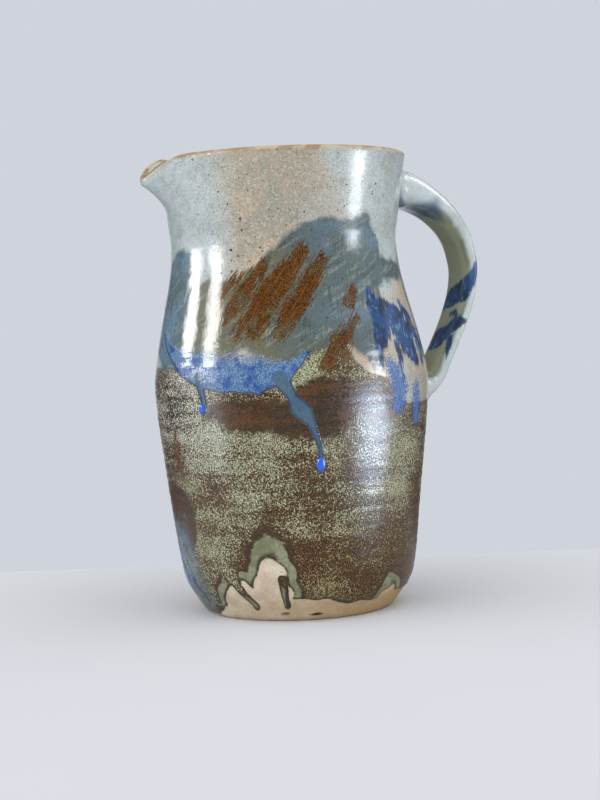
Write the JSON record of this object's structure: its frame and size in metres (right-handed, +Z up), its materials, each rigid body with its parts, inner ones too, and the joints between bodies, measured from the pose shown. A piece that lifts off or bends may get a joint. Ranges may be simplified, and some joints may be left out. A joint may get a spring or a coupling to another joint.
{
  "type": "stoneware jug",
  "caption": "Hand-thrown glazed stoneware jug with a swelling belly, pulled pouring lip and tapering pulled strap handle.",
  "frame": {"origin": "centre of the flat foot, on the surface that the jug stands on", "axes": "+Z up along the axis the jug was thrown on, +X towards the handle, -X towards the pouring lip"},
  "size_m": [0.1819, 0.1404, 0.23],
  "materials": {
    "glazed_body": "gloss",
    "glazed_handle": "gloss",
    "glazed_joint": "gloss"
  },
  "bodies": {
    "root": {"thrown_body": "glazed_body", "pulled_handle": "glazed_handle", "upper_joint_coil": "glazed_joint", "lower_joint_coil": "glazed_joint"}
  },
  "joints": []
}
